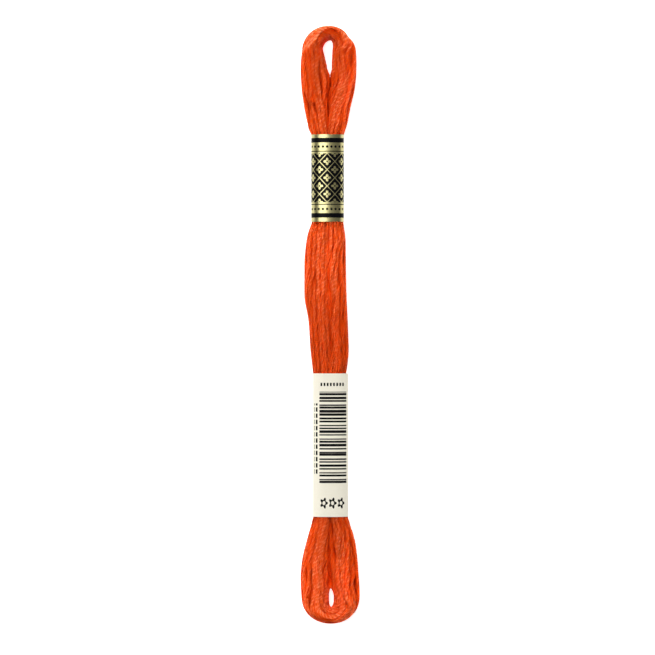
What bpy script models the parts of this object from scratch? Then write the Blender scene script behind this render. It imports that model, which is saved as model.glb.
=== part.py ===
"""A skein of six-strand embroidery floss, lying on its back.

The floss is wound into one long ring whose two legs lie side by side. The ring stays open only at a
small eye in the loop at each end. Two paper bands hold the legs together, a foil one near the wider
eye and a plain one nearer the other. X runs across the skein, Y along it with the foil band's end at
+Y, and Z up from the surface that it lies on.
"""

import math
from collections import namedtuple

import bmesh
import bpy
import numpy as np

MM = 0.001

# The floss hank. Sizes from here on are in millimetres.
BUNCHES = 8                  # bunches of turns that show as ridges round one leg
BUNCH_POINTS = 4             # points across one bunch
TWIST_IN_BUNCHES = 6         # how far the twist turns a leg's section in one trip round the ring
GROOVE = 0.42                # depth between two bunches
STATION_SPACING = 3.2        # along the legs
LOOP_STATIONS = 17           # round each end loop, from leg to leg
FLAT_DEPTH = 0.45            # how far the round underside would reach below the surface if not pressed flat

# The paper bands.
PAPER = 1.0                  # thickness of each band
CLEARANCE = 0.4              # between a band and the floss, where its ridges come nearest
BAND_POINTS = 40
BAND_SQUARENESS = 2.5        # exponent of a band's outline, where 2 is an oval
FOIL_BAND = {"top": 52.2, "bottom": 28.3, "left": -5.08, "right": 3.57, "height": 6.3}
PAPER_BAND = {"top": -13.3, "bottom": -52.6, "left": -4.70, "right": 4.62, "height": 6.3}

# End loops: the place where each turns back, and how far its outside and its eye reach from there.
TOP_LOOP = {"x": -0.45, "reach": 7.7, "eye_reach": 3.4, "height": 7.2}
BOTTOM_LOOP = {"x": 0.25, "reach": 7.7, "eye_reach": 2.7, "height": 7.0}

# The legs' free stretches, from the top down. left and right are the outer edges, left_in and
# right_in the inner ones, which cross over wherever the two legs are pressed into each other.
LegRow = namedtuple("LegRow", "y left left_in right_in right height")
TOP_STRETCH = (
    LegRow(74.4, -7.65, -1.75, 0.80, 7.00, 6.6),
    LegRow(70.0, -7.97, -0.50, 0.30, 7.10, 6.2),
    LegRow(65.5, -7.75, 0.95, -0.80, 6.75, 5.9),
    LegRow(59.0, -6.90, 1.35, -1.50, 5.30, 5.9),
    LegRow(54.6, -6.00, 1.15, -1.60, 4.40, 6.1),
    LegRow(52.6, -5.20, 0.90, -1.50, 3.65, 6.2),
)
MIDDLE_STRETCH = (
    LegRow(27.9, -5.00, 0.60, -1.80, 3.50, 6.2),
    LegRow(23.3, -6.40, 0.70, -2.00, 4.10, 6.1),
    LegRow(16.0, -6.95, 0.60, -2.20, 4.20, 6.0),
    LegRow(10.5, -7.10, 0.60, -2.20, 4.40, 6.0),
    LegRow(1.0, -5.80, 0.90, -1.60, 4.70, 6.0),
    LegRow(-7.0, -5.25, 1.20, -1.20, 4.95, 6.1),
    LegRow(-12.9, -4.65, 1.30, -1.10, 4.65, 6.2),
)
BOTTOM_STRETCH = (
    LegRow(-53.0, -4.70, 1.25, -1.05, 4.85, 6.2),
    LegRow(-58.5, -6.05, 1.15, -0.95, 6.60, 5.9),
    LegRow(-65.0, -7.60, 1.05, -0.75, 7.45, 5.7),
    LegRow(-70.5, -7.97, 0.70, -0.30, 7.80, 5.8),
    LegRow(-74.5, -7.75, -0.20, 0.80, 7.97, 6.2),
)

# One section through a leg or a loop: its two edges in the XY plane, its underside and its top.
Station = namedtuple("Station", "outer inner low high")


def material(name, colour, roughness, metallic=0.0):
    """A plain Principled material."""
    made = bpy.data.materials.new(name)
    made.use_nodes = True
    shader = made.node_tree.nodes["Principled BSDF"]
    shader.inputs["Base Color"].default_value = (*colour, 1.0)
    shader.inputs["Roughness"].default_value = roughness
    shader.inputs["Metallic"].default_value = metallic
    return made


def closed_loft(name, rings, turned=0):
    """Object whose skin joins each ring of points to the next, and the last to the first.

    turned is by how many points the last ring is turned against the first.
    """
    mesh = bmesh.new()
    verts = [[mesh.verts.new(co) for co in ring] for ring in rings * MM]
    verts.append(verts[0][turned:] + verts[0][:turned])
    for ring, after in zip(verts, verts[1:]):
        for i in range(len(ring)):
            j = (i + 1) % len(ring)
            mesh.faces.new((ring[i], ring[j], after[j], after[i]))
    bmesh.ops.recalc_face_normals(mesh, faces=mesh.faces)
    data = bpy.data.meshes.new(name)
    mesh.to_mesh(data)
    mesh.free()
    data.shade_smooth()
    return bpy.data.objects.new(name, data)


def smooth_rows(rows):
    """A stretch's rows, read about every STATION_SPACING along a smooth curve through them."""
    table = np.array(rows)
    y, values = table[:, 0], table[:, 1:]
    slopes = np.gradient(values, y, axis=0)
    at = np.linspace(y[0], y[-1], round((y[0] - y[-1]) / STATION_SPACING) + 1)
    k = np.clip(np.searchsorted(-y, -at, side="right") - 1, 0, len(y) - 2)
    gap = (y[k + 1] - y[k])[:, None]
    t = (at - y[k])[:, None] / gap
    curve = (
        (2 * t**3 - 3 * t**2 + 1) * values[k]
        + (t**3 - 2 * t**2 + t) * gap * slopes[k]
        + (3 * t**2 - 2 * t**3) * values[k + 1]
        + (t**3 - t**2) * gap * slopes[k + 1]
    )
    return [LegRow(*row) for row in np.column_stack((at, curve))]


def rows_under(band, above, below):
    """Two rows at the ends of the stretch under a band, drawn in to clear the paper.

    above and below are the free rows beside the band. Their inner edges carry on under it.
    """
    inset = PAPER + CLEARANCE
    drawn_in = {
        "left": band["left"] + inset,
        "right": band["right"] - inset,
        "height": band["height"] - inset,
    }
    return [row._replace(**drawn_in) for row in (above, below)]


def leg_stations():
    """The stations of the right leg from the top loop down, and of the left leg from the bottom up."""
    top, middle, bottom = (smooth_rows(rows) for rows in (TOP_STRETCH, MIDDLE_STRETCH, BOTTOM_STRETCH))
    stretches = (
        (top, -FLAT_DEPTH),
        (rows_under(FOIL_BAND, top[-1], middle[0]), PAPER + CLEARANCE),
        (middle, -FLAT_DEPTH),
        (rows_under(PAPER_BAND, middle[-1], bottom[0]), PAPER + CLEARANCE),
        (bottom, -FLAT_DEPTH),
    )
    right, left = [], []
    for rows, low in stretches:
        for row in rows:
            right.append(Station((row.right, row.y), (row.right_in, row.y), low, row.height))
            left.append(Station((row.left, row.y), (row.left_in, row.y), low, row.height))
    return right, left[::-1]


def loop_stations(loop, row, side):
    """Stations round an end loop, between two ovals that start from the edges of its row of the legs.

    side is 1 for the loop at +Y, which runs from the left leg to the right, and -1 for the other.
    """
    stations = []
    for k in range(1, LOOP_STATIONS):
        angle = math.pi * (k / LOOP_STATIONS - 0.5)
        across, along = side * math.sin(angle), math.cos(angle)
        outer_x, inner_x = (row.right, row.right_in) if across > 0 else (row.left, row.left_in)
        outer = (
            loop["x"] + abs(outer_x - loop["x"]) * across,
            row.y + side * loop["reach"] * along,
        )
        inner = (
            loop["x"] + abs(inner_x - loop["x"]) * across,
            row.y + side * loop["eye_reach"] * along,
        )
        high = row.height + (loop["height"] - row.height) * along
        stations.append(Station(outer, inner, -FLAT_DEPTH, high))
    return stations


def bunched_section(station, twist):
    """Ring of points round a station: an oval with a groove between each two bunches."""
    outer, inner = np.array(station.outer), np.array(station.inner)
    step = np.arange(BUNCHES * BUNCH_POINTS) / BUNCH_POINTS
    angle = 2 * math.pi * (step + twist) / BUNCHES
    groove = GROOVE * (1 - np.abs(np.sin(math.pi * step)))
    half_width = np.linalg.norm(outer - inner) / 2
    half_height = (station.high - station.low) / 2
    across = (half_width - groove) * np.cos(angle)
    xy = (outer + inner) / 2 + across[:, None] * (outer - inner) / (2 * half_width)
    z = station.low + half_height + (half_height - groove) * np.sin(angle)
    return np.column_stack((xy, z))


def floss_hank(look):
    """The wound floss, one solid. Its legs run into each other where they are pressed together,
    and the Boolean that presses the underside flat makes one skin of them there."""
    right, left = leg_stations()
    stations = (
        loop_stations(TOP_LOOP, TOP_STRETCH[0], 1)
        + right
        + loop_stations(BOTTOM_LOOP, BOTTOM_STRETCH[-1], -1)
        + left
    )
    centres = np.array([np.add(s.outer, s.inner) / 2 for s in stations])
    steps = np.linalg.norm(np.roll(centres, -1, axis=0) - centres, axis=1)
    share = (np.cumsum(steps) - steps) / steps.sum()
    rings = [bunched_section(s, TWIST_IN_BUNCHES * part_way) for s, part_way in zip(stations, share)]
    hank = closed_loft("floss_hank", np.array(rings), turned=TWIST_IN_BUNCHES * BUNCH_POINTS)
    hank.data.materials.append(look)
    return hank


def band_outline(band, inset):
    """x and z of a ring of points round a band, inset from its outer face, with a flat underside."""
    angle = 2 * math.pi * (np.arange(BAND_POINTS) + 0.5) / BAND_POINTS
    across, up = (
        np.sign(turn) * np.abs(turn) ** (2 / BAND_SQUARENESS) for turn in (np.cos(angle), np.sin(angle))
    )
    half_width = (band["right"] - band["left"]) / 2 - inset
    half_height = (band["height"] + FLAT_DEPTH) / 2 - inset
    x = (band["left"] + band["right"]) / 2 + half_width * across
    z = (band["height"] - FLAT_DEPTH) / 2 + half_height * up
    return x, np.maximum(z, inset)


def paper_sleeve(name, band, look):
    """A band of paper round the skein, lofted up its outer face and down its inner one."""
    rings = []
    for inset, ends in ((0.0, ("bottom", "top")), (PAPER, ("top", "bottom"))):
        x, z = band_outline(band, inset)
        rings += [np.column_stack((x, np.full(BAND_POINTS, band[end]), z)) for end in ends]
    sleeve = closed_loft(name, np.array(rings))
    sleeve.data.materials.append(look)
    return sleeve


def floor_cutter():
    """A block below the surface that the skein lies on, longer and wider than the skein."""
    size = np.array((40.0, 200.0, 10.0)) * MM
    bpy.ops.mesh.primitive_cube_add(size=1, location=(0, 0, -size[2] / 2), scale=size)
    block = bpy.context.object
    block.name = "floor_cutter"
    block.hide_render = True
    block.display_type = "WIRE"
    return block


def move_to(collection, ob):
    """Links an object to one collection only."""
    for other in ob.users_collection:
        other.objects.unlink(ob)
    collection.objects.link(ob)


for old in list(bpy.data.objects):
    bpy.data.objects.remove(old)

part = bpy.data.collections.new("embroidery_floss_skein")
cutters = bpy.data.collections.new("cutters")
for collection in (part, cutters):
    bpy.context.scene.collection.children.link(collection)

orange_floss = material("orange_floss", (0.73, 0.09, 0.02), roughness=0.6)
gold_foil = material("gold_foil", (0.46, 0.38, 0.16), roughness=0.35, metallic=0.8)
white_paper = material("white_paper", (0.80, 0.78, 0.66), roughness=0.8)

hank = floss_hank(orange_floss)
foil_band = paper_sleeve("foil_band", FOIL_BAND, gold_foil)
paper_band = paper_sleeve("paper_band", PAPER_BAND, white_paper)
for piece in (hank, foil_band, paper_band):
    move_to(part, piece)

floor = floor_cutter()
move_to(cutters, floor)
flat_underside = hank.modifiers.new("flat_underside", "BOOLEAN")
flat_underside.operation = "DIFFERENCE"
flat_underside.solver = "EXACT"
flat_underside.use_self = True
flat_underside.object = floor
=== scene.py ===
import math
from types import SimpleNamespace

import bpy
import numpy as np
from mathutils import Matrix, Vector


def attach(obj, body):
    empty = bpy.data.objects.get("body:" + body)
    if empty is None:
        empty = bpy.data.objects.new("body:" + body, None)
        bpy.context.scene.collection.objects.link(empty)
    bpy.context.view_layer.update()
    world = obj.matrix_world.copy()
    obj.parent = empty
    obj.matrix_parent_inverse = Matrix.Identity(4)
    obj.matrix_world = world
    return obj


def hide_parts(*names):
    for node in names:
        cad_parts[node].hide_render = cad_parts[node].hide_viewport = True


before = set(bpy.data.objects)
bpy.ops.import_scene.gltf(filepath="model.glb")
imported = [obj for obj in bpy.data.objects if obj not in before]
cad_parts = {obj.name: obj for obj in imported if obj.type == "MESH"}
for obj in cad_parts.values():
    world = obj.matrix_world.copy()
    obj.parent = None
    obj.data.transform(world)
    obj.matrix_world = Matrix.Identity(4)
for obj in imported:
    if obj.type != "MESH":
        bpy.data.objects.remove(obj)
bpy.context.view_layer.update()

# ---- Camera, far enough above the skein to show no perspective ----
MM = 0.001
IMAGE_WIDTH = 179.9 * MM
CAMERA_TARGET = (-0.69 * MM, -0.71 * MM, 3.0 * MM)
CAMERA_DISTANCE = 1.2
SENSOR = 36.0


def new_object(name, data):
    """A new object with that data, linked to the scene."""
    made = bpy.data.objects.new(name, data)
    bpy.context.scene.collection.objects.link(made)
    return made


camera_data = bpy.data.cameras.new("camera")
camera_data.sensor_width = SENSOR
camera_data.lens = SENSOR * CAMERA_DISTANCE / IMAGE_WIDTH
camera = new_object("camera", camera_data)
camera.location = Vector(CAMERA_TARGET) + Vector((0, 0, CAMERA_DISTANCE))
bpy.context.scene.camera = camera


# ---- Floss ----
# The real piece is about eight metres of mercerised cotton floss, six fine strands laid side by side with a
# slack twist. It is wound by machine into a ring of 24 turns and pulled out long, so that its two legs lie
# against each other.
TURNS = 24
STRANDS = 6
SIDES = 6
FLOSS_GROUPS = 3
SEED = 31
# in mm: a strand's radius and its distance from the middle of the thread where threads lie THREAD_SPACING
# apart, the power by which a strand swells with that spacing, and the length in which it goes once round
STRAND_RADIUS = 0.27
STRAND_OFFSET = 0.35
THREAD_SPACING = 1.10
STRAND_SWELL = 0.6
LAY = 8.5
# sections across the ring: rows up each leg, a fan of them round each end, and the height of the first one
ROW_COUNT = 76
FAN_COUNT = 17
FAN_ANGLES = np.pi * np.arange(1, FAN_COUNT + 1) / (FAN_COUNT + 1)
START_HEIGHT = -33.0
# y, outer and inner edge of the left leg, inner and outer edge of the right leg, underside and top, in mm,
# and how pale the floss is painted there, from 0, darkest, to 1; it is painted darker beside the bands
SECTIONS = np.array(
    [
        (-74.5, -7.87, -0.22, 1.00, 8.17, 0.0, 6.2, 0.95),
        (-73.2, -7.96, -0.08, 0.75, 8.15, 0.0, 6.0, 0.95),
        (-72.2, -8.02, 0.15, 0.30, 8.12, 0.0, 5.9, 0.95),
        (-69.5, -8.09, 0.25, -0.20, 7.95, 0.0, 5.8, 0.95),
        (-65.0, -7.72, 0.10, -0.35, 7.65, 0.0, 5.7, 0.90),
        (-58.5, -6.17, 0.15, -0.45, 6.80, 0.0, 5.9, 0.75),
        (-53.0, -4.74, 1.25, -1.05, 5.00, 0.2, 6.1, 0.45),
        (-51.0, -4.50, 1.30, -1.10, 4.50, 0.3, 6.1, 0.20),
        (-33.0, -4.48, 1.30, -1.10, 4.33, 0.3, 6.1, 0.20),
        (-15.0, -4.48, 1.30, -1.10, 4.15, 0.3, 6.1, 0.20),
        (-12.5, -4.77, 1.30, -1.10, 4.60, 0.2, 6.1, 0.25),
        (-7.0, -5.37, 1.20, -1.20, 5.15, 0.0, 6.1, 0.20),
        (1.0, -5.92, 0.90, -1.60, 4.90, 0.0, 6.0, 0.35),
        (8.5, -7.07, 0.20, -0.90, 4.60, 0.0, 6.0, 0.75),
        (16.0, -7.07, 0.60, -2.20, 4.40, 0.0, 6.0, 0.95),
        (23.3, -6.52, 0.70, -2.00, 4.30, 0.0, 6.1, 0.95),
        (27.9, -5.16, 0.60, -1.80, 3.72, 0.2, 6.1, 0.80),
        (29.5, -4.93, 0.60, -1.80, 3.57, 0.3, 6.1, 0.70),
        (40.0, -4.90, 0.70, -1.70, 3.57, 0.3, 6.1, 0.70),
        (51.0, -4.95, 0.80, -1.60, 3.57, 0.3, 6.1, 0.70),
        (52.6, -5.38, 0.90, -1.50, 3.93, 0.2, 6.2, 0.75),
        (54.6, -6.12, 0.45, -1.30, 4.60, 0.0, 6.1, 0.85),
        (57.5, -6.77, 0.20, -1.10, 5.20, 0.0, 6.0, 0.95),
        (60.5, -7.27, -0.10, -0.60, 5.80, 0.0, 5.9, 0.95),
        (63.5, -7.67, 0.10, -0.25, 6.55, 0.0, 5.9, 0.90),
        (66.8, -7.95, 0.20, 0.00, 7.07, 0.0, 5.9, 0.85),
        (68.5, -8.05, -0.12, 0.12, 7.20, 0.0, 6.1, 0.80),
        (70.5, -8.09, -0.69, 0.38, 7.30, 0.0, 6.2, 0.80),
        (72.8, -7.96, -1.25, 0.49, 7.30, 0.0, 6.4, 0.80),
        (75.4, -7.70, -1.92, 0.66, 7.13, 0.0, 6.7, 0.95),
    ]
)
# the two ends: middle x and reach of the rim and of the eye, height of the bend, paleness at the eye and at
# the rim, where low values are painted shade, as on the inner wall of the top loop, and values above 1 are
# painted highlights, as on its rim and round the bottom loop; the powers of the left and right sides of the
# rim and of the eye, which are fuller below 1 and more pointed above 1, and the share by which the rim is
# drawn in at its dent
TOP_LOOP = {
    "x": -0.45,
    "reach": 6.8,
    "eye_x": 0.15,
    "eye_reach": 2.6,
    "height": 7.0,
    "inner_pale": 0.35,
    "outer_pale": 1.6,
    "fullness": (0.88, 1.02),
    "eye_fullness": (1.6, 1.0),
    "dent": 0.07,
}
BOTTOM_LOOP = {
    "x": 0.25,
    "reach": 7.7,
    "eye_x": 0.3,
    "eye_reach": 2.7,
    "height": 6.8,
    "inner_pale": 1.1,
    "outer_pale": 1.1,
    "fullness": (0.88, 0.89),
    "eye_fullness": (1.0, 1.0),
    "dent": 0.0,
}
DENT_ANGLE, DENT_WIDTH = 2.58, 0.25
# how far the top of a section leans outward at the crown of each loop
TOP_LEAN, BOTTOM_LEAN = 1.1, 0.5
# stretches hidden under the bands, powers of the sections' ovals, how far past a hidden stretch its power
# reaches, and the sections in which one power goes over into the next
HIDDEN = ((-51.0, -15.0), (30.0, 50.5))
LEG_POWER, BAND_POWER, LOOP_POWER = 2.5, 2.0, 2.05
BAND_REACH = 2.5
POWER_WIDTH = 1.5
# distance from a section's rim to the middle of its outermost thread, and how much wider a leg's oval is on
# the side where it meets the other leg
THREAD_MARGIN = 0.5
MEETING_SLACK = 1.6
# share of a section that the threads fill, and the height of a row of close threads over their spacing
LEG_FILL, LOOP_FILL = 0.80, 0.82
ROW_RISE = 0.866
# the bundle that the turns are laid in: first scatter, spacing, steps, and how far it rolls to and fro
BUNDLE_SCATTER, BUNDLE_SPACING, BUNDLE_STEPS = 0.8, 0.42, 200
BUNDLE_ROLL = 0.5
# bunches of turns, and the spacing within a bunch and between bunches over that of even threads
BUNCHES = 5
TIGHTER, SLACKER = 0.95, 1.06
# wandering, as amounts and widths: of threads in half-sizes over sections, of the twist in radians and of
# strands in mm over stations
THREAD_WANDER = ((0.15, 7.0), (0.07, 3.0))
TWIST_WANDER = ((0.9, 14.0),)
STRAND_WANDER = ((0.09, 4.0), (0.04, 1.8))
# sections in which a thread goes over from place to place, share of its wandering that is left in the loops,
# and the sections in which it calms down to that
PLACE_WIDTH = 5.0
LOOP_CALM, CALM_WIDTH = 0.8, 2.5
# how the threads settle: steps, shares of the push and of the draw to a crossing line made in each step, and
# the smoothing, in sections, that is done every so many steps and at the end
SETTLING_STEPS = 160
PUSH, DRAW = 0.6, 0.35
SMOOTH_EVERY, SMOOTH_WIDTH, LAST_WIDTH = 4, 0.8, 1.2
# threads that lie across the others on top, in the left and in the right leg: y, x and z of points down each
LEFT_CROSSING = (
    ((71, 66.5, 62.4, 59.5, 56, 53), (-5.0, -4.0, -2.6, -1.7, -1.3, -1.5), (5.4, 5.6, 5.6, 5.6, 5.6, 5.6)),
    ((24, 19, 13, 8, 2), (-1.4, -2.2, -1.8, -1.5, -2.6), (5.5, 5.6, 5.6, 5.5, 5.4)),
    ((-55, -60, -65, -70), (-1.6, -1.4, -2.6, -4.0), (5.4, 5.4, 5.2, 5.0)),
)
RIGHT_CROSSING = (
    ((71, 66.5, 63.2, 60.4, 56.8, 53), (4.3, 3.6, 1.7, 0.3, -0.2, -0.4), (5.3, 5.6, 5.8, 5.8, 5.6, 5.6)),
    ((71, 66, 62.6, 59.5, 56, 53), (5.3, 4.6, 2.9, 1.3, 0.8, 0.7), (4.9, 5.3, 5.6, 5.6, 5.6, 5.6)),
    ((24, 19, 14, 10, 5), (2.4, 1.6, 0.5, 0.6, 1.6), (5.4, 5.6, 5.6, 5.5, 5.4)),
    ((-55, -60, -65, -70), (1.2, 1.5, 3.4, 4.4), (5.4, 5.4, 5.2, 5.0)),
)
# steps along the thread between rings of a tube, in sections
HIDDEN_STEP, FREE_STEP = 1.5, 0.42
# the painted shade: how far under a section's surface the floss is painted darkest, as a share of its
# half-size, the painted shade of the valley between strands, and how steeply paleness goes over from a
# section's inner side to its outer
SHADE_DEPTH = 0.42
VALLEY = 0.1
PALE_STEEPNESS = 1.2
# places with painted highlights, painted shadows and painted bounce light: x, y, heading, half-length,
# half-width, paleness added, and glow
PAINTED_LIGHT_AND_SHADE = (
    (-4.4, 78.3, 0.76, 4.2, 0.5, 1.5, 0.0),
    (-1.7, 76.6, 1.2, 2.4, 1.0, 0.5, 1.0),
    (-4.1, 75.4, 1.40, 3.2, 0.8, -0.6, 0.0),
    (-4.6, 65.5, 1.60, 8.0, 2.5, -0.5, 0.0),
    (4.4, 66.0, 1.55, 9.0, 2.6, 0.25, 0.12),
    (2.3, 75.2, 1.75, 4.2, 1.2, -0.5, 0.0),
    (-1.2, -81.1, -0.28, 4.6, 0.8, -1.6, 0.0),
    (-0.3, -67.0, 1.57, 5.0, 0.5, -0.4, 0.2),
    (3.2, -73.5, 1.50, 7.0, 1.7, 0.1, 0.35),
    (-1.1, -73.7, 1.57, 3.6, 0.9, 0.3, 0.4),
)
# columns of the table that says, for each section, all that the strands in it need to know
MIDDLE, OUTWARD, HALF_SIZES = slice(0, 2), slice(2, 4), slice(4, 6)
MIDDLE_HEIGHT, LEAN, POWER, SLACK, INNER_PALE, OUTER_PALE, SPACING = range(6, 13)


def smooth_curve(at, known, values):
    """Values at 'at', by cubic pieces through the known points that never overshoot: their slope at a point
    is the harmonic mean of the slopes of the chords on its two sides, or 0 where those differ in sign."""
    chord = np.diff(values, axis=0) / np.diff(known)[:, None]
    before, after = chord[:-1], chord[1:]
    same = before * after > 0
    total = np.where(same, before + after, 1.0)
    inner = np.where(same, 2 * before * after / total, 0.0)
    slope = np.concatenate([chord[:1], inner, chord[-1:]])
    i = np.clip(np.searchsorted(known, at) - 1, 0, len(known) - 2)
    span = (known[i + 1] - known[i])[:, None]
    t = (at - known[i])[:, None] / span
    return (
        values[i] * (1 + 2 * t) * (1 - t) ** 2
        + slope[i] * span * t * (1 - t) ** 2
        + values[i + 1] * t**2 * (3 - 2 * t)
        + slope[i + 1] * span * t**2 * (t - 1)
    )


def along_chain(values, width):
    """Values averaged along the chain with the weights of a bell curve whose spread is width steps."""
    reach = int(3 * width) + 1
    weight = np.exp(-0.5 * (np.arange(-reach, reach + 1) / width) ** 2)
    padded = np.concatenate([values[:1].repeat(reach, 0), values, values[-1:].repeat(reach, 0)])
    columns = [np.convolve(padded[:, c], weight / weight.sum(), "valid") for c in range(values.shape[1])]
    return np.stack(columns, 1)


def loop_fans(loop, row, side):
    """Inner and outer points of the sections round one end loop, from its left leg to its right, and their
    underside, top and paleness at both points. Each point is on a half-oval about the loop's middle: cos of
    the angle times the half-width of its side, and sin, to the power of its side, times the reach. The
    rim's is smaller by the dent times a bell curve of the angle about DENT_ANGLE. Tops grow with sin,
    paleness with sin squared."""
    y, left, left_in, right_in, right, low, high, pale = row
    cos, sin = np.cos(FAN_ANGLES), np.sin(FAN_ANGLES)
    x, eye_x = loop["x"], loop["eye_x"]
    held = 1 - loop["dent"] * np.exp(-(((FAN_ANGLES - DENT_ANGLE) / DENT_WIDTH) ** 2))
    inner_x = eye_x - cos * np.where(cos > 0, eye_x - left_in, right_in - eye_x)
    outer_x = x - cos * np.where(cos > 0, x - left, right - x) * held
    inner_y = y + side * sin ** np.where(cos > 0, *loop["eye_fullness"]) * loop["eye_reach"]
    outer_y = y + side * sin ** np.where(cos > 0, *loop["fullness"]) * loop["reach"] * held
    inner, outer = np.stack([inner_x, inner_y], 1), np.stack([outer_x, outer_y], 1)
    top = high + (loop["height"] - high) * sin
    pales = [pale + (loop[side_pale] - pale) * sin**2 for side_pale in ("inner_pale", "outer_pale")]
    return inner, outer, np.stack([np.full(FAN_COUNT, low), top, *pales], 1)


def round_the_ring(ring, row_values, fan_values):
    """One value for every section: both legs share those of the rows, and each loop has its own."""
    made = np.empty(len(ring.width))
    made[ring.left] = made[ring.right] = row_values
    for fan, value in zip(ring.fans, fan_values):
        made[fan] = value
    return made


def ring_sections():
    """The sections round the ring: up the left leg, round the top loop, down the right leg and round the
    bottom loop, rolled to start under the paper band. Each is an oval |x/a|^power + |z/b|^power = 1 on the
    line from its inner to its outer point. The spacing of its threads is the root of width times height
    times the share filled, over their number times ROW_RISE."""
    y = np.linspace(SECTIONS[0, 0], SECTIONS[-1, 0], ROW_COUNT)
    rows = smooth_curve(y, SECTIONS[:, 0], SECTIONS)
    left_outer, left_inner, right_inner, right_outer = (np.stack([rows[:, c], y], 1) for c in (1, 2, 3, 4))
    leg = rows[:, [5, 6, 7, 7]]
    stretches = zip(
        (left_inner, left_outer, leg),
        loop_fans(TOP_LOOP, rows[-1], 1),
        (right_inner, right_outer, leg),
        loop_fans(BOTTOM_LOOP, rows[0], -1),
    )
    order = np.roll(np.arange(2 * (ROW_COUNT + FAN_COUNT)), -np.argmin(abs(y - START_HEIGHT)))
    inner, outer, traits = (np.concatenate([a, b, c[::-1], d[::-1]])[order] for a, b, c, d in stretches)
    numbers = np.split(np.argsort(order), np.cumsum([ROW_COUNT, FAN_COUNT, ROW_COUNT]))
    ring = SimpleNamespace(left=numbers[0], right=numbers[2][::-1], fans=(numbers[1], numbers[3]))

    across = outer - inner
    ring.width = np.sqrt((across**2).sum(1))
    ring.outward = across / ring.width[:, None]
    ring.middle = (inner + outer) / 2
    ring.outer_x = outer[:, 0]
    low, high = traits[:, 0], traits[:, 1]
    ring.height = (low + high) / 2
    ring.lean = round_the_ring(ring, 0.0, [most * np.sin(FAN_ANGLES) for most in (TOP_LEAN, BOTTOM_LEAN)])
    half_width = ring.width / 2 - THREAD_MARGIN - ring.lean / 2
    ring.half = np.stack([half_width, (high - low) / 2 - THREAD_MARGIN], 1)

    row_y = ring.middle[ring.left, 1]
    banded = np.any([(row_y > a - BAND_REACH) & (row_y < b + BAND_REACH) for a, b in HIDDEN], axis=0)
    banded = along_chain(banded[:, None].astype(float), POWER_WIDTH)[:, 0]
    ring.row_power = LEG_POWER - (LEG_POWER - BAND_POWER) * banded
    power = round_the_ring(ring, ring.row_power, (LOOP_POWER, LOOP_POWER))
    ring.power = along_chain(power[:, None], POWER_WIDTH)[:, 0]

    left_x, right_x = ring.outer_x[ring.left], ring.outer_x[ring.right]
    left_width, right_width = ring.width[ring.left], ring.width[ring.right]
    both_width = np.minimum(left_width + right_width, right_x - left_x)
    ring.row_spacing = np.sqrt(both_width * (high - low)[ring.left] * LEG_FILL / (2 * TURNS * ROW_RISE))
    ring.fan_spacing = [
        np.sqrt(ring.width[fan] * (high - low)[fan] * LOOP_FILL / (TURNS * ROW_RISE)) for fan in ring.fans
    ]
    meeting = left_x + left_width > right_x - right_width
    slack = round_the_ring(ring, np.where(meeting, MEETING_SLACK, 1.0), (1.0, 1.0))
    spacing = round_the_ring(ring, ring.row_spacing, ring.fan_spacing)
    ring.table = np.column_stack(
        [ring.middle, ring.outward, ring.half + THREAD_MARGIN, ring.height]
        + [ring.lean, ring.power, slack, traits[:, 2:], spacing]
    )
    return ring


def wander(count, columns, waves, random):
    """Random wandering along the chain: for each amount and width of the waves, random numbers averaged
    over that many steps and scaled to a spread of that amount, all added up."""
    total = np.zeros((count, columns))
    for amount, width in waves:
        field = along_chain(random.normal(size=(count, columns)), width)
        total += amount * (field / field.std(0))
    return total


def spread(points, spacing, apart=1.0):
    """For each point, the sum of half of what is missing to the spacing from every point nearer than that.
    Pairs may have a spacing of their own, as a factor in apart."""
    gap = points[:, None] - points[None]
    distance = np.sqrt((gap**2).sum(-1)) + 1e-6
    missing = np.clip(spacing * apart - distance, 0, None)
    return 0.5 * (gap * (missing / distance)[..., None]).sum(1)


def held_in(points, half, power):
    """Points drawn straight back to the rim of the oval |x/a|^power + |z/b|^power = 1 if outside it."""
    power = np.broadcast_to(power, points.shape[:-1])
    level = (abs(points / half) ** power[..., None]).sum(-1) ** (1 / power)
    return points / np.maximum(level, 1)[..., None]


def bundle_places(random):
    """Places of the turns in an oval bundle of half-size 1, scattered and then pushed apart. They are in
    order column by column, up one column and down the next, so that turns next in number lie together."""
    base = random.uniform(-BUNDLE_SCATTER, BUNDLE_SCATTER, (TURNS, 2))
    for _ in range(BUNDLE_STEPS):
        base = held_in(base + spread(base[:, None], BUNDLE_SPACING)[:, 0], 1.0, LEG_POWER)
    column = np.floor((base[:, 0] + 1) * BUNCHES / 2)
    upward = np.where(column % 2 > 0, -base[:, 1], base[:, 1])
    return base[np.lexsort((upward, column))]


def crossing_threads(points, ring):
    """For each crossing line, the turn that lies nearest to it, the sections that the line passes, and its
    place in each of them. No turn is taken twice in one leg."""
    found = []
    for leg, lines, outward in ((ring.left, LEFT_CROSSING, -1), (ring.right, RIGHT_CROSSING, 1)):
        taken = []
        for line in lines:
            line = np.array(line).T[::-1]
            y = ring.middle[leg, 1]
            passed = (y > line[0, 0]) & (y < line[-1, 0])
            rows = leg[passed]
            on_line = smooth_curve(y[passed], line[:, 0], line)
            across = (on_line[:, 1] - ring.middle[rows, 0]) * outward
            target = np.stack([across, on_line[:, 2] - ring.height[rows]], 1)
            far = ((points[:, rows] - target) ** 2).sum((1, 2))
            far[taken] = np.inf
            taken.append(int(np.argmin(far)))
            found.append((taken[-1], rows, target))
    return found


def smoothed(points, half, width):
    """Places averaged along the thread as shares of their section's half-sizes."""
    return along_chain((points / half).reshape(-1, 2), width).reshape(points.shape) * half


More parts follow.
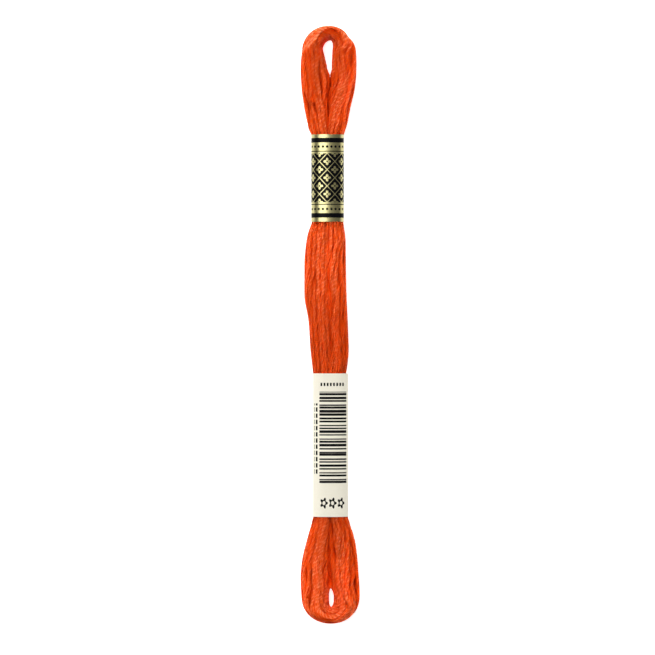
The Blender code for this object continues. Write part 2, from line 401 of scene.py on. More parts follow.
def settled(points, ring):
    """Places in the sections once the threads have settled. In each step the threads of both legs, taken in
    one plane, and those of each fan push one another apart to their spacing, crossing threads are drawn
    to their lines, and all are held in their oval. Every few steps all are smoothed along the thread."""
    left, right, half = ring.left, ring.right, ring.half
    left_middle, right_middle = ring.middle[left, 0], ring.middle[right, 0]
    both_x = (ring.outer_x[left] + ring.outer_x[right]) / 2
    both_width = (ring.outer_x[right] - ring.outer_x[left]) / 2 - THREAD_MARGIN
    both_half = np.stack([both_width, half[left, 1]], 1)
    bunch = np.arange(TURNS) * BUNCHES // TURNS
    bunch = np.concatenate([bunch, bunch + BUNCHES])
    apart = np.where(bunch[:, None] == bunch[None], TIGHTER, SLACKER)[..., None]
    crossing = crossing_threads(points, ring)
    for step in range(SETTLING_STEPS):
        both = np.concatenate([points[:, left], points[:, right]])
        both[:TURNS, :, 0] *= -1
        both[:TURNS, :, 0] += left_middle - both_x
        both[TURNS:, :, 0] += right_middle - both_x
        both = held_in(both, both_half, ring.row_power)
        both += spread(both, ring.row_spacing, apart) * PUSH
        both[..., 0] += both_x
        points[:, left] = np.stack([left_middle - both[:TURNS, :, 0], both[:TURNS, :, 1]], -1)
        points[:, right] = np.stack([both[TURNS:, :, 0] - right_middle, both[TURNS:, :, 1]], -1)
        for fan, spacing in zip(ring.fans, ring.fan_spacing):
            points[:, fan] += spread(points[:, fan], spacing, apart[:TURNS, :TURNS]) * PUSH
        for turn, rows, target in crossing:
            points[turn, rows] += (target - points[turn, rows]) * DRAW
        if step % SMOOTH_EVERY == 0:
            points = smoothed(points, half, SMOOTH_WIDTH)
        points = held_in(points, half, ring.power)
    return smoothed(points, half, LAST_WIDTH)


def thread_paths(random):
    """Middle of the thread at every section of every turn, and the table of the sections. Each turn has a
    place in the bundle, which rolls to and fro as the sine of twice the way round the ring. The thread goes
    over smoothly from place to place and wanders about it, and then the threads settle."""
    ring = ring_sections()
    count = len(ring.width)
    base = bundle_places(random)
    roll = BUNDLE_ROLL * np.sin(4 * np.pi * np.arange(count) / count)
    cos, sin = np.cos(roll), np.sin(roll)
    rolled = np.stack([base[:, :1] * cos - base[:, 1:] * sin, base[:, :1] * sin + base[:, 1:] * cos], -1)
    chain = along_chain(rolled.reshape(-1, 2), PLACE_WIDTH)
    calm = along_chain(round_the_ring(ring, 1.0, (LOOP_CALM, LOOP_CALM))[:, None], CALM_WIDTH)
    stray = np.tile(calm, (TURNS, 1)) * wander(TURNS * count, 2, THREAD_WANDER, random)
    points = settled((chain + stray).reshape(TURNS, count, 2) * ring.half, ring)
    shift = ring.lean * points[..., 1] / ring.half[:, 1]
    place = ring.middle + ring.outward * (points[..., 0] + shift)[..., None]
    height = ring.height + points[..., 1]
    return np.concatenate([place, height[..., None]], 2), ring.table


def section_place(points, sections):
    """Where points lie in the sections they belong to: distance outward from the section's middle, less its
    lean, height above that middle, and the half-sizes of the oval, which is wider where the legs meet."""
    outward = sections[..., OUTWARD]
    outward = outward / np.sqrt((outward**2).sum(-1, keepdims=True))
    above = points[..., 2] - sections[..., MIDDLE_HEIGHT]
    across = ((points[..., :2] - sections[..., MIDDLE]) * outward).sum(-1)
    wide, high = sections[..., HALF_SIZES][..., 0], sections[..., HALF_SIZES][..., 1]
    across = across - sections[..., LEAN] * above / high
    wide = wide * np.where(across < 0, sections[..., SLACK], 1.0)
    room = np.stack([wide, np.broadcast_to(high, wide.shape)], -1)
    return np.stack([across, above], -1), room, outward


def pressed_in(points, radius, sections):
    """Points moved straight towards the middle of their section, just far enough for a strand of that
    radius to lie inside the section's oval, so that the strands share one smooth outline."""
    place, room, outward = section_place(points, sections)
    moved = held_in(place, room - radius[..., None], sections[..., POWER]) - place
    moved[..., 0] += sections[..., LEAN] * moved[..., 1] / sections[..., HALF_SIZES][..., 1]
    return points + np.concatenate([outward * moved[..., :1], moved[..., 1:]], -1)


def eased(t):
    """A rise from 0 to 1 that starts and ends level: 3 t squared less 2 t cubed, for t from 0 to 1."""
    t = np.clip(t, 0, 1)
    return t * t * (3 - 2 * t)


def shades(points, sections):
    """For each point of each strand's rings, how near it is to the surface of its section, from 0 at
    SHADE_DEPTH under it to 1 on it, times how far it is up its own strand towards that surface, from VALLEY
    to 1, which sets the painted shade between and under the strands; how pale the floss is, which eases over
    from the section's inner to its outer side and brings painted shade and painted highlights; and how much
    painted bounce light it glows with. A painted patch fades as the bell curve exp(-a^2 - b^2) of the
    distances a along it and b across it, in half-sizes."""
    place, room, _ = section_place(points, sections)
    power = sections[..., POWER]
    level = (abs(place / room) ** power[..., None]).sum(-1) ** (1 / power)
    side = eased(0.5 + PALE_STEEPNESS * place[..., 0] / room[..., 0])
    pale = sections[..., INNER_PALE] + (sections[..., OUTER_PALE] - sections[..., INNER_PALE]) * side
    rise = level - level.mean(-1, keepdims=True)
    rise = 0.5 + 0.5 * rise / rise.max(-1, keepdims=True)
    depth = np.clip(1 - (1 - level) / SHADE_DEPTH, 0, 1) * (VALLEY + (1 - VALLEY) * rise)
    glow = np.zeros(level.shape)
    for x, y, heading, long, wide, paler, brighter in PAINTED_LIGHT_AND_SHADE:
        away_x, away_y = points[..., 0] - x, points[..., 1] - y
        down = (away_x * math.cos(heading) + away_y * math.sin(heading)) / long
        over = (away_y * math.cos(heading) - away_x * math.sin(heading)) / wide
        near = np.exp(-(down**2) - over**2)
        pale = pale + paler * near
        glow = glow + brighter * near
    return depth, pale, glow


def through(nodes, at):
    """Points at fractional node numbers, on the cubic from each node to the next whose slope at a node is
    half the step from the node before it to the one after it."""
    i = np.floor(at).astype(int)
    t = (at - i)[:, None]
    last = len(nodes) - 1
    a, b, c, d = (nodes[np.clip(i + step, 0, last)] for step in (-1, 0, 1, 2))
    return 0.5 * (2 * b + (c - a) * t + (2 * a - 5 * b + 4 * c - d) * t**2 + (3 * b - a - 3 * c + d) * t**3)


def square_directions(paths):
    """At every point of the paths, two directions of length 1 that are square to the path: up, which is Z
    made square to it, and side, which is square to up as well."""
    tangent = np.gradient(paths, axis=-2)
    tangent /= np.sqrt((tangent**2).sum(-1))[..., None]
    up = np.array([0.0, 0.0, 1.0]) - tangent * tangent[..., 2:]
    up /= np.sqrt((up**2).sum(-1))[..., None]
    return up, np.cross(tangent, up)


def strand_paths():
    """Middle lines of the six strands of the thread at every fine station, with the strands' radius, the
    length so far and the sections there. Each strand goes round the thread's middle once in LAY mm, and
    wanders a little on its own. Stations lie closer together where the floss shows than under the bands."""
    random = np.random.default_rng(SEED)
    threads, table = thread_paths(random)
    count = threads.shape[1]
    ring_y = threads[:, :, 1].mean(0)
    hidden = np.any([(ring_y > a) & (ring_y < b) for a, b in HIDDEN], axis=0)
    density = np.cumsum(np.where(hidden, 1 / HIDDEN_STEP, 1 / FREE_STEP))
    fine = int(density[-1])
    even = np.linspace(0, density[-1], fine, endpoint=False)
    ring_at = np.interp(even, density, np.arange(1, count + 1))
    ring_at = np.clip(ring_at - ring_at[0], 0, count - 1e-3)
    at = (np.arange(TURNS)[:, None] * count + ring_at).ravel()
    middle = through(threads.reshape(-1, 3), at)
    sections = through(np.tile(table, (TURNS, 1)), at)
    loose = sections[:, SPACING] / THREAD_SPACING
    length = np.cumsum(np.sqrt((np.gradient(middle, axis=0) ** 2).sum(1)))
    up, side = square_directions(middle)
    turn = -2 * np.pi * length / LAY + wander(len(at), 1, TWIST_WANDER, random)[:, 0]
    radius = STRAND_RADIUS * loose**STRAND_SWELL
    reach = STRAND_OFFSET * loose
    paths = []
    for strand in range(STRANDS):
        stray = wander(len(at), 2, STRAND_WANDER, random)
        angle = turn + 2 * np.pi * strand / STRANDS
        a = (reach * np.cos(angle) + stray[:, 0] * loose)[:, None]
        b = (reach * np.sin(angle) + stray[:, 1] * loose)[:, None]
        paths.append(pressed_in(middle + side * a + up * b, radius, sections))
    paths = np.array(paths)
    paths[..., 2] = np.maximum(paths[..., 2], radius)
    return paths, radius, length, sections, fine


PLY_SHIFT = 0.382
SHADES = ("depth", "pale", "glow")


def tube_mesh(name, paths, radius, length, sections):
    """One mesh of closed tubes, a row of rings for each path. A ring is the circle of the given radius in
    the plane of the two directions square to the path. u goes round it, shifted by PLY_SHIFT from each tube
    to the next, and v is the length."""
    lines, stations = paths.shape[:2]
    up, side = square_directions(paths)
    angle = 2 * np.pi * np.arange(SIDES) / SIDES
    cos, sin = np.cos(angle)[:, None], np.sin(angle)[:, None]
    ring = side[:, :, None] * cos + up[:, :, None] * sin
    verts = paths[:, :, None] + ring * radius[:, :, None, None]
    index = np.arange(lines * stations * SIDES).reshape(lines, stations, SIDES)
    following = np.roll(index, -1, 2)
    quads = np.stack([index[:, :-1], following[:, :-1], following[:, 1:], index[:, 1:]], -1).reshape(-1, 4)
    first, last = index[:, 0, ::-1], index[:, -1]
    corners = np.concatenate([quads.ravel(), first.ravel(), last.ravel()])
    sizes = np.concatenate([np.full(len(quads), 4), np.full(2 * lines, SIDES)])
    around = np.arange(SIDES) / SIDES
    u = np.stack([around, around + 1 / SIDES, around + 1 / SIDES, around], -1)
    shift = PLY_SHIFT * np.arange(lines)[:, None, None, None]
    u = np.broadcast_to(u, (lines, stations - 1, SIDES, 4)) + shift
    ahead, behind = length[:, 1:], length[:, :-1]
    v = np.broadcast_to(np.stack([behind, behind, ahead, ahead], -1)[:, :, None], u.shape)
    uv = np.concatenate([np.stack([u.ravel(), v.ravel()], 1), np.zeros((2 * lines * SIDES, 2))])
    mesh = bpy.data.meshes.new(name)
    mesh.vertices.add(verts.size // 3)
    mesh.vertices.foreach_set("co", verts.ravel() * MM)
    mesh.loops.add(len(corners))
    mesh.loops.foreach_set("vertex_index", corners)
    mesh.polygons.add(len(sizes))
    mesh.polygons.foreach_set("loop_start", np.concatenate([[0], np.cumsum(sizes)[:-1]]))
    mesh.uv_layers.new(name="UVMap").uv.foreach_set("vector", uv.ravel())
    mesh.polygons.foreach_set("use_smooth", np.ones(len(sizes), bool))
    for shade, values in zip(SHADES, shades(verts, sections[:, :, None])):
        mesh.attributes.new(shade, "FLOAT", "POINT").data.foreach_set("value", values.ravel())
    mesh.update(calc_edges=True)
    mesh.validate()
    return mesh


def add_node(tree, kind, *values, **settings):
    """A node of that kind, with its settings and its first inputs: sockets, numbers, or None to skip one."""
    made = tree.nodes.new(kind)
    for name, value in settings.items():
        setattr(made, name, value)
    for socket, value in zip(made.inputs, values):
        if isinstance(value, bpy.types.NodeSocket):
            tree.links.new(value, socket)
        elif value is not None:
            socket.default_value = value
    return made


def set_inputs(node, values):
    """Gives the node's inputs of those names their values."""
    for name, value in values.items():
        node.inputs[name].default_value = value


def maths(tree, operation, *values):
    """The result of one step of arithmetic on sockets or numbers."""
    return add_node(tree, "ShaderNodeMath", *values, operation=operation).outputs[0]


def blend_colours(tree, factor, first, second):
    """First colour where the factor is 0, second where it is 1; each is a socket or three numbers."""
    made = add_node(tree, "ShaderNodeMix", factor, data_type="RGBA")
    for socket, colour in ((made.inputs[6], first), (made.inputs[7], second)):
        if isinstance(colour, bpy.types.NodeSocket):
            tree.links.new(colour, socket)
        else:
            socket.default_value = (*colour, 1)
    return made.outputs[2]


def own_map(tree):
    """The piece's own UV map, and its u and v."""
    uv = add_node(tree, "ShaderNodeUVMap", uv_map="UVMap").outputs[0]
    u, v = add_node(tree, "ShaderNodeSeparateXYZ", uv).outputs[:2]
    return uv, u, v


def new_material(name):
    """A new node material, its node tree and its shader."""
    material = bpy.data.materials.new(name)
    material.use_nodes = True
    return material, material.node_tree, material.node_tree.nodes["Principled BSDF"]


# floss colours: a painted highlight for pale flecks and glints; the floss's own colour; painted shade in the
# valleys between strands and under the surface; painted shade where the floss is painted darker; painted
# bounce light from the floss nearby; and the tint of the shader's own gloss
FLOSS_HIGHLIGHT = (1.0, 0.25, 0.105)
FLOSS_COLOUR = (0.755, 0.077, 0.005)
FLOSS_GAP_SHADE = (0.62, 0.034, 0.0005)
FLOSS_PAINTED_SHADE = (0.48, 0.037, 0.002)
FLOSS_BOUNCE_LIGHT = (0.95, 0.045, 0.006)
FLOSS_SHINE = (1.0, 0.25, 0.08)
# two plies twisted into each strand, and the distance from ridge to ridge along it, in mm; then the height of
# the ridges, and how far light spreads under the surface
PLIES, PLY_LAY = 2.0, 1.2
PLY_BUMP = 0.02 * MM
LIGHT_DEPTH = 1.6 * MM
# pale flecks, painted highlights on the ridges of the plies near the surface: patches per metre, and the
# factor and shift that sharpen them; how they follow the ply, as a factor and shift of its height squared;
# and the power of the depth by which they keep to the surface
PATCH_SCALE = 900.0
PATCH_CONTRAST = (2.6, -0.6)
FLECK_ON_PLY = (0.75, 0.25)
FLECK_AT_SURFACE = 4.0
# factor and shift: of the ply's height for the painted glint on the palest floss, and of paleness for the
# colour
GLINT_ON_PLY = (1.4, 0.2)
PALE_RANGE = (0.8, 0.2)

floss_material, tree, shader = new_material("orange_floss")
uv, u, v = own_map(tree)
depth, pale, glow = (
    add_node(tree, "ShaderNodeAttribute", attribute_name=shade).outputs["Fac"] for shade in SHADES
)
ply = maths(tree, "MULTIPLY_ADD", u, PLIES, maths(tree, "DIVIDE", v, PLY_LAY))
ply = maths(tree, "SINE", maths(tree, "MULTIPLY", ply, 2 * math.pi))
ply_height = maths(tree, "MULTIPLY_ADD", ply, 0.5, 0.5)
place = add_node(tree, "ShaderNodeTexCoord").outputs["Object"]
patch = add_node(tree, "ShaderNodeTexNoise", place, None, PATCH_SCALE, 1.0).outputs[0]
patch = maths(tree, "MAXIMUM", maths(tree, "MULTIPLY_ADD", patch, *PATCH_CONTRAST), 0.0)
fleck_highlight = maths(tree, "MULTIPLY_ADD", maths(tree, "POWER", ply_height, 2.0), *FLECK_ON_PLY)
fleck_highlight = maths(tree, "MULTIPLY", fleck_highlight, maths(tree, "POWER", depth, FLECK_AT_SURFACE))
fleck_highlight = maths(tree, "MULTIPLY", fleck_highlight, patch)
glint = maths(tree, "MULTIPLY", maths(tree, "MAXIMUM", maths(tree, "SUBTRACT", pale, 1.0), 0.0), depth)
glint = maths(tree, "MULTIPLY", glint, maths(tree, "MULTIPLY_ADD", ply_height, *GLINT_ON_PLY))
# painted shade under and between strands, then painted highlights, then painted shade where the floss is
# painted darker, then painted bounce light
colour = blend_colours(tree, depth, FLOSS_GAP_SHADE, FLOSS_COLOUR)
colour = blend_colours(tree, maths(tree, "ADD", fleck_highlight, glint), colour, FLOSS_HIGHLIGHT)
colour = blend_colours(tree, maths(tree, "MULTIPLY_ADD", pale, *PALE_RANGE), FLOSS_PAINTED_SHADE, colour)
colour = blend_colours(tree, glow, colour, FLOSS_BOUNCE_LIGHT)
tree.links.new(colour, shader.inputs["Base Color"])
bump = add_node(tree, "ShaderNodeBump")
set_inputs(bump, {"Strength": 0.8, "Distance": PLY_BUMP})
tree.links.new(ply_height, bump.inputs["Height"])
tree.links.new(bump.outputs[0], shader.inputs["Normal"])
shader.subsurface_method = "BURLEY"
set_inputs(shader, {"Subsurface Weight": 1.0, "Subsurface Radius": (1.0, 1.0, 1.0)})
set_inputs(shader, {"Subsurface Scale": LIGHT_DEPTH})
set_inputs(shader, {"Roughness": 0.32, "Specular IOR Level": 0.02, "Specular Tint": (*FLOSS_SHINE, 1)})

strands, strand_radius, strand_length, strand_sections, per_turn = strand_paths()
for group in range(FLOSS_GROUPS):
    turns = np.arange(group, TURNS, FLOSS_GROUPS)
    stations = np.minimum(turns[:, None] * per_turn + np.arange(per_turn + 1), strands.shape[1] - 1)
    paths = strands[:, stations].reshape(-1, per_turn + 1, 3)
    along = np.tile(stations, (STRANDS, 1))
    name = f"floss_{group + 1}"
    mesh = tube_mesh(name, paths, strand_radius[along], strand_length[along], strand_sections[along])
    mesh.materials.append(floss_material)
    floss = new_object(name, mesh)
    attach(floss, "root")
    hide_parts("floss_hank")


# ---- Gold foil band ----
# The real piece is a strip of thin paper faced with gold foil and printed in black, wrapped once round the
# skein near its top loop, lapped and glued on the underside.
FOIL_TOP, FOIL_BOTTOM = 52.2, 28.3
FOIL_SOFTNESS = 13.0
# in mm: the paper, its lap, the length in which it climbs on to its own start, the gap between its layers,
# and the slack round the strands
PAPER_THICKNESS = 0.13
LAP, LAP_RISE, LAP_GAP = 4.0, 1.5, 0.02
BAND_EASE = 0.04
# where a strip starts, as a share of the way round from +X over the top, and its points round and rows along
BAND_START = 0.72
AROUND, BAND_ROWS = 220, 9
# directions in which a band's outline is measured, and how many of them to each side are averaged; in mm, how
# far inside its ends the strands count, and the distance over which its slope is taken
DIRECTIONS, AVERAGED = 720, 48
END_MARGIN, SLOPE_STEP = 0.1, 0.05


def wrapped_outline(low_y, high_y, softness):
    """Outline of a strip pulled tight round the strands between two heights. The farthest reach of any
    strand in each direction is averaged over neighbouring directions, with a spread of that many degrees,
    to a reach h, and the outline is (h cos - h' sin, h sin + h' cos)."""
    direction = np.linspace(0, 2 * np.pi, DIRECTIONS + 1)[:-1]
    cos, sin = np.cos(direction), np.sin(direction)
    middle_y = (low_y + high_y) / 2
    near = abs(strands[..., 1] - middle_y) < (high_y - low_y) / 2 - END_MARGIN
    radius = np.broadcast_to(strand_radius, strands.shape[:2])[near]
    reach = np.max(strands[near][:, [0, 2]] @ np.stack([cos, sin]) + radius[:, None], axis=0)
    lags = np.arange(-AVERAGED, AVERAGED + 1)
    weight = np.exp(-0.5 * (lags * (360 / DIRECTIONS) / softness) ** 2)
    reach = sum(share * np.roll(reach, lag) for share, lag in zip(weight / weight.sum(), lags)) + BAND_EASE
    slope = (np.roll(reach, -1) - np.roll(reach, 1)) / (4 * np.pi / DIRECTIONS)
    return np.stack([reach * cos - slope * sin, reach * sin + slope * cos], 1)


def band_mesh(name, low_y, high_y, softness):
    """A closed strip one paper thick, wrapped from the underside round the skein and over its own start by
    LAP mm, and the distance once round it. u is the distance round from the middle of the upper side, v the
    distance along the skein, both in mm. Edges along the rim of both faces are sharp."""
    outline = np.roll(wrapped_outline(low_y, high_y, softness), -int(DIRECTIONS * BAND_START), 0)
    outline = np.concatenate([outline, outline[:1]])
    length = np.concatenate([[0], np.cumsum(np.sqrt((np.diff(outline, axis=0) ** 2).sum(1)))])
    around = length[-1]
    s = np.linspace(0, 1, AROUND) * (around + LAP)

    def on_outline(run):
        """Points at those distances round the outline."""
        return np.stack([np.interp(run % around, length, outline[:, c]) for c in (0, 1)], 1)

    inner = on_outline(s)
    slope = on_outline(s + SLOPE_STEP) - inner
    out = np.stack([slope[:, 1], -slope[:, 0]], 1) / (np.sqrt((slope**2).sum(1)) + 1e-9)[:, None]
    inner = inner + out * (eased((s - around + LAP_RISE) / LAP_RISE) * (PAPER_THICKNESS + LAP_GAP))[:, None]
    outer = inner + out * PAPER_THICKNESS
    lift = -min(outer[:, 1].min(), inner[:, 1].min())
    grid = (BAND_ROWS, AROUND)
    y = np.broadcast_to(np.linspace(low_y, high_y, BAND_ROWS)[:, None], grid)
    faces = []
    for x, z in (outer.T, inner.T):
        faces.append(np.stack([np.broadcast_to(x, grid), y, np.broadcast_to(z + lift, grid)], -1))
    verts = np.array(faces).reshape(-1, 3) * MM
    index = np.arange(2 * BAND_ROWS * AROUND).reshape(2, BAND_ROWS, AROUND)
    a, b = index
    quads = [
        np.stack([a[:-1, :-1], a[:-1, 1:], a[1:, 1:], a[1:, :-1]], -1).reshape(-1, 4),
        np.stack([b[:-1, :-1], b[1:, :-1], b[1:, 1:], b[:-1, 1:]], -1).reshape(-1, 4),
        np.stack([a[0, :-1], b[0, :-1], b[0, 1:], a[0, 1:]], -1),
        np.stack([a[-1, :-1], a[-1, 1:], b[-1, 1:], b[-1, :-1]], -1),
        np.stack([a[:-1, 0], a[1:, 0], b[1:, 0], b[:-1, 0]], -1),
        np.stack([a[:-1, -1], b[:-1, -1], b[1:, -1], a[1:, -1]], -1),
    ]
    smooth_count = len(quads[0]) + len(quads[1])
    quads = np.concatenate(quads)[:, ::-1]
    u = s[np.argmax(outer[:, 1])] - s
    uv = np.stack([np.broadcast_to(u, grid), y], -1).reshape(-1, 2)
    uv = np.concatenate([uv, uv])[quads.ravel()]
    mesh = bpy.data.meshes.new(name)
    mesh.from_pydata(verts.tolist(), [], quads.tolist())
    mesh.uv_layers.new(name="UVMap").uv.foreach_set("vector", uv.ravel())
    mesh.polygons.foreach_set("use_smooth", np.arange(len(quads)) < smooth_count)
    mesh.update(calc_edges=True)
    rim = np.zeros(index.shape, bool)
    rim[:, [0, -1]] = True
    rim[:, :, [0, -1]] = True
    pairs = np.empty(2 * len(mesh.edges), int)
    mesh.edges.foreach_get("vertices", pairs)
    mesh.edges.foreach_set("use_edge_sharp", rim.ravel()[pairs].reshape(-1, 2).all(1))
    return mesh, float(around)


def between(tree, value, low, high):
    """1 where the value lies between the two limits and 0 elsewhere."""
    return maths(tree, "COMPARE", value, (low + high) / 2, (high - low) / 2)


def either(tree, *masks):
    """The greatest of the masks at each point."""
    result = masks[0]
    for mask in masks[1:]:
        result = maths(tree, "MAXIMUM", result, mask)
    return result


def all_of(tree, *masks):
    """The product of the masks at each point."""
    result = masks[0]
    for mask in masks[1:]:
        result = maths(tree, "MULTIPLY", result, mask)
    return result


def from_nearest(tree, value):
    """How far the value is above the nearest whole number, below 0 where it is under it."""
    return maths(tree, "SUBTRACT", value, maths(tree, "ROUND", value))


def far_from(tree, x, y):
    """Distance from the point where x and y are 0: the root of x squared plus y squared."""
    squares = [maths(tree, "MULTIPLY", part, part) for part in (x, y)]
    return maths(tree, "SQRT", maths(tree, "ADD", *squares))


GOLD = (0.54, 0.505, 0.27)
GOLD_WORN = (0.45, 0.40, 0.17)
INK = (0.003, 0.003, 0.004)
GOLD_METAL = 0.95
# roughness as a factor and shift of the wear, and the wear's patches per mm, detail and roughness
GOLD_ROUGHNESS = (0.12, 0.27)
WEAR_PATCHES = (1.4, 3.0, 0.6)
STRIPES = ((49.97, 51.24), (29.39, 30.63))
PANEL = (33.6, 47.0)
PANEL_RULES = ((47.45, 47.7), (32.9, 33.15))
BEAD_ROWS = (48.85, 31.75)
BEAD_PITCH, BEAD_RADIUS = 1.15, 0.33
LOZENGE_WIDTH, LOZENGE_HEIGHT = 4.2, 4.47
LATTICE_LINE = 0.066
FOIL_PETALS = 4
PETAL_REACH, PETAL_WAIST, FLOWER_EYE = 1.0, 0.36, 0.22

foil_material, tree, shader = new_material("gold_foil")
uv, around, along = own_map(tree)
stripes = either(tree, *[between(tree, along, *stripe) for stripe in STRIPES])
rules = either(tree, *[between(tree, along, *rule) for rule in PANEL_RULES])
bead_across = from_nearest(tree, maths(tree, "DIVIDE", around, BEAD_PITCH))
bead_across = maths(tree, "MULTIPLY", bead_across, BEAD_PITCH)
beads = []
for row in BEAD_ROWS:
    far = far_from(tree, bead_across, maths(tree, "SUBTRACT", along, row))
    beads.append(maths(tree, "LESS_THAN", far, BEAD_RADIUS))
middle_along = maths(tree, "SUBTRACT", along, sum(PANEL) / 2)
scaled_u = maths(tree, "DIVIDE", around, LOZENGE_WIDTH)
scaled_v = maths(tree, "DIVIDE", middle_along, LOZENGE_HEIGHT)
rising = maths(tree, "ADD", scaled_u, scaled_v)
falling = maths(tree, "SUBTRACT", scaled_u, scaled_v)
lines = []
for cell in (rising, falling):
    off_line = from_nearest(tree, maths(tree, "ADD", cell, 0.5))
    lines.append(maths(tree, "LESS_THAN", maths(tree, "ABSOLUTE", off_line), LATTICE_LINE / 2))
cell_a, cell_b = from_nearest(tree, rising), from_nearest(tree, falling)
flower_u = maths(tree, "MULTIPLY", maths(tree, "ADD", cell_a, cell_b), LOZENGE_WIDTH / 2)
flower_v = maths(tree, "MULTIPLY", maths(tree, "SUBTRACT", cell_a, cell_b), LOZENGE_HEIGHT / 2)
flower_far = far_from(tree, flower_u, flower_v)
flower_turn = maths(tree, "MULTIPLY", maths(tree, "ARCTAN2", flower_v, flower_u), FOIL_PETALS / 2)
petal = maths(tree, "ABSOLUTE", maths(tree, "COSINE", flower_turn))
petal = maths(tree, "MULTIPLY_ADD", petal, PETAL_REACH - PETAL_WAIST, PETAL_WAIST)
petals, eye = maths(tree, "LESS_THAN", flower_far, petal), maths(tree, "LESS_THAN", flower_far, FLOWER_EYE)
gold_in_panel = either(tree, *lines, maths(tree, "SUBTRACT", petals, eye))
panel_ink = all_of(tree, between(tree, along, *PANEL), maths(tree, "SUBTRACT", 1.0, gold_in_panel))
ink = either(tree, stripes, rules, panel_ink, *beads)
wear = add_node(tree, "ShaderNodeTexNoise", uv, None, *WEAR_PATCHES).outputs[0]
ground = blend_colours(tree, wear, GOLD, GOLD_WORN)
tree.links.new(blend_colours(tree, ink, ground, INK), shader.inputs["Base Color"])
tree.links.new(maths(tree, "MULTIPLY_ADD", ink, -GOLD_METAL, GOLD_METAL), shader.inputs["Metallic"])
tree.links.new(maths(tree, "MULTIPLY_ADD", wear, *GOLD_ROUGHNESS), shader.inputs["Roughness"])
set_inputs(shader, {"Specular IOR Level": 0.05})

mesh, foil_around = band_mesh("foil_band", FOIL_BOTTOM, FOIL_TOP, FOIL_SOFTNESS)
mesh.materials.append(foil_material)
foil = new_object("foil_wrap", mesh)
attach(foil, "root")
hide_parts("foil_band")


# ---- White paper band ----
# The real piece is a longer strip of plain white paper printed in black, wrapped and glued in the same way
# between the middle of the skein and its bottom loop.
PAPER_TOP, PAPER_BOTTOM = -13.3, -52.6
PAPER_SOFTNESS = 5.0

PAPER_COLOUR = (0.96, 0.93, 0.81)
PAPER_SHADE = (0.92, 0.86, 0.69)
PRINT_INK = (0.003, 0.003, 0.003)
FIBRE_PATCHES = (2.2, 5.0)
# two bars in each step: range and least of the first one's width, of the second's start, and of its width
BARS_ALONG, BARS_AROUND = (-43.4, -18.3), (-2.9, 4.9)
BAR_STEP = 1.85
FIRST_BAR, SECOND_START, SECOND_BAR = (0.28, 0.18), (0.08, 0.54), (0.22, 0.17)
# rows of dashes: step in mm, and the share of it that is printed
DASHES_ALONG, DASHES_AROUND = (-16.75, -15.85), (-2.8, 4.0)
DASH = (0.86, 0.55)
STITCHES_ALONG = (-41.0, -21.5)
STITCH_ROWS = ((-3.75, 0.6), (-4.6, 0.2))
STITCH = (1.7, 0.72)
# a row of flowers, FLOWER_ROOM to each side of its middle line; its petals reach as far across the skein as
# a factor and shift of the cosine of their turn, and FLOWER_HEIGHT times as far along it
FLOWERS, FLOWERS_ALONG, FLOWERS_AROUND = 3, -48.8, 0.7
FLOWER_STEP, FLOWER_HEIGHT, FLOWER_ROOM = 2.35, 1.4, 2.0
PAPER_PETALS, PETAL_RANGE, PAPER_EYE = 5.0, (0.24, 0.88), 0.4


def dashes(tree, value, step, share):
    """1 over the first share of each step of the value, and 0 over the rest of it."""
    return maths(tree, "LESS_THAN", maths(tree, "FRACT", maths(tree, "DIVIDE", value, step)), share)


paper_material, tree, shader = new_material("white_paper")
uv, around, along = own_map(tree)
step = maths(tree, "DIVIDE", along, BAR_STEP)
number = maths(tree, "FLOOR", step)
chance = add_node(tree, "ShaderNodeTexWhiteNoise", None, number, noise_dimensions="1D").outputs[1]
first, second, third = add_node(tree, "ShaderNodeSeparateXYZ", chance).outputs
inside = maths(tree, "FRACT", step)
first_bar = maths(tree, "LESS_THAN", inside, maths(tree, "MULTIPLY_ADD", first, *FIRST_BAR))
inside = maths(tree, "SUBTRACT", inside, maths(tree, "MULTIPLY_ADD", second, *SECOND_START))
second_bar = maths(tree, "LESS_THAN", inside, maths(tree, "MULTIPLY_ADD", third, *SECOND_BAR))
second_bar = all_of(tree, second_bar, maths(tree, "GREATER_THAN", inside, 0.0))
bars = all_of(
    tree,
    either(tree, first_bar, second_bar),
    between(tree, along, *BARS_ALONG),
    between(tree, around, *BARS_AROUND),
)
dash_row = all_of(
    tree,
    dashes(tree, around, *DASH),
    between(tree, along, *DASHES_ALONG),
    between(tree, around, *DASHES_AROUND),
)
stitches = []
for place, wide in STITCH_ROWS:
    row = between(tree, around, place - wide / 2, place + wide / 2)
    stitches.append(all_of(tree, dashes(tree, along, *STITCH), row, between(tree, along, *STITCHES_ALONG)))
place = maths(tree, "DIVIDE", maths(tree, "SUBTRACT", around, FLOWERS_AROUND), FLOWER_STEP)
flower_u = maths(tree, "MULTIPLY", from_nearest(tree, place), FLOWER_STEP)
flower_v = maths(tree, "DIVIDE", maths(tree, "SUBTRACT", along, FLOWERS_ALONG), FLOWER_HEIGHT)
far = far_from(tree, flower_u, flower_v)
petals = maths(tree, "MULTIPLY", maths(tree, "ARCTAN2", flower_v, flower_u), PAPER_PETALS)
petals = maths(tree, "MULTIPLY_ADD", maths(tree, "COSINE", petals), *PETAL_RANGE)
flowers = all_of(
    tree,
    maths(tree, "LESS_THAN", far, petals),
    maths(tree, "GREATER_THAN", far, PAPER_EYE),
    maths(tree, "LESS_THAN", maths(tree, "ABSOLUTE", place), FLOWERS / 2),
    between(tree, along, FLOWERS_ALONG - FLOWER_ROOM, FLOWERS_ALONG + FLOWER_ROOM),
)
ink = either(tree, bars, dash_row, flowers, *stitches)
fibre = add_node(tree, "ShaderNodeTexNoise", uv, None, *FIBRE_PATCHES).outputs[0]
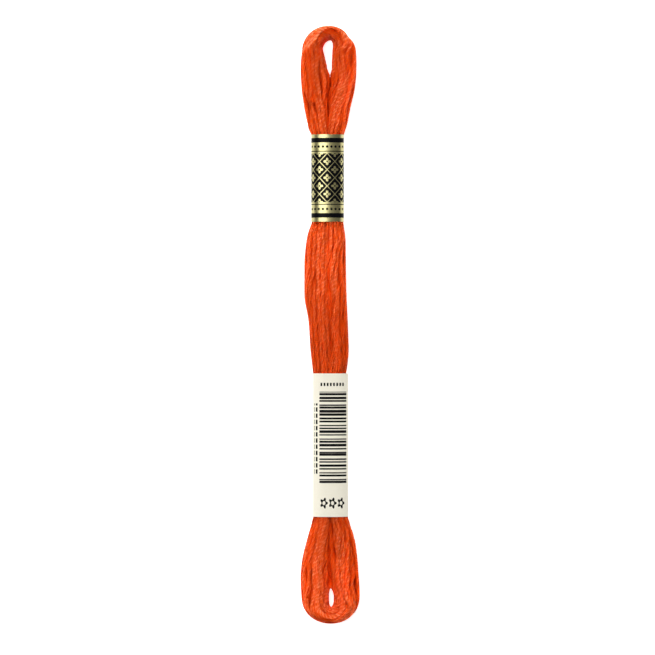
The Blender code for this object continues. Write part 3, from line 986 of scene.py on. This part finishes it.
ground = blend_colours(tree, fibre, PAPER_COLOUR, PAPER_SHADE)
tree.links.new(blend_colours(tree, ink, ground, PRINT_INK), shader.inputs["Base Color"])
set_inputs(shader, {"Roughness": 0.55, "Specular IOR Level": 0.1})

mesh, paper_around = band_mesh("paper_band", PAPER_BOTTOM, PAPER_TOP, PAPER_SOFTNESS)
mesh.materials.append(paper_material)
paper = new_object("paper_wrap", mesh)
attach(paper, "root")
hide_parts("paper_band")


# ---- Pale floor, soft light from the upper left, and an even sky ----
FLOOR_SIZE = 3.0
FLOOR_GLOW = 0.82

floor_material, tree, shader = new_material("pale_floor")
set_inputs(shader, {"Base Color": (0.85, 0.85, 0.85, 1), "Roughness": 0.9, "Specular IOR Level": 0.0})
set_inputs(shader, {"Emission Color": (1, 1, 1, 1), "Emission Strength": FLOOR_GLOW})

floor_corners = [(x * FLOOR_SIZE, y * FLOOR_SIZE, 0) for x, y in ((-1, -1), (1, -1), (1, 1), (-1, 1))]
floor_mesh = bpy.data.meshes.new("floor")
floor_mesh.from_pydata(floor_corners, [], [(0, 1, 2, 3)])
floor_mesh.materials.append(floor_material)
floor = new_object("floor", floor_mesh)

SKY_LOW, SKY_ABOVE = 0.09, 0.12
HAZE_HEIGHT = 0.09
# name, place, size and power
LIGHTS = (
    ("key", (-0.37, 0.12, 1.0), 0.74, 6.4),
    ("back", (0.0, 0.95, 0.80), 0.80, 8.0),
)
for name, place, size, power in LIGHTS:
    light_data = bpy.data.lights.new(name, "AREA")
    light_data.shape = "SQUARE"
    light_data.size = size
    light_data.energy = power
    light = new_object(name, light_data)
    light.location = place
    light.rotation_euler = (-Vector(place)).to_track_quat("-Z", "Y").to_euler()

# the sky is SKY_LOW at the level of the floor and grows by the height squared, and a white haze that fades
# as a bell curve of the height hides the far edge of the floor
world = bpy.data.worlds.new("studio")
world.use_nodes = True
tree = world.node_tree
heading = add_node(tree, "ShaderNodeTexCoord").outputs["Generated"]
height = add_node(tree, "ShaderNodeSeparateXYZ", heading).outputs[2]
rise = maths(tree, "POWER", maths(tree, "MAXIMUM", height, 0.0), 2.0)
haze = maths(tree, "POWER", maths(tree, "DIVIDE", height, HAZE_HEIGHT), 2.0)
haze = maths(tree, "EXPONENT", maths(tree, "MULTIPLY", haze, -1.0))
sky = maths(tree, "ADD", haze, maths(tree, "MULTIPLY_ADD", rise, SKY_ABOVE, SKY_LOW))
tree.links.new(sky, tree.nodes["Background"].inputs["Strength"])
set_inputs(tree.nodes["Background"], {"Color": (1, 1, 1, 1)})
bpy.context.scene.world = world
bpy.context.scene.view_settings.view_transform = "Standard"
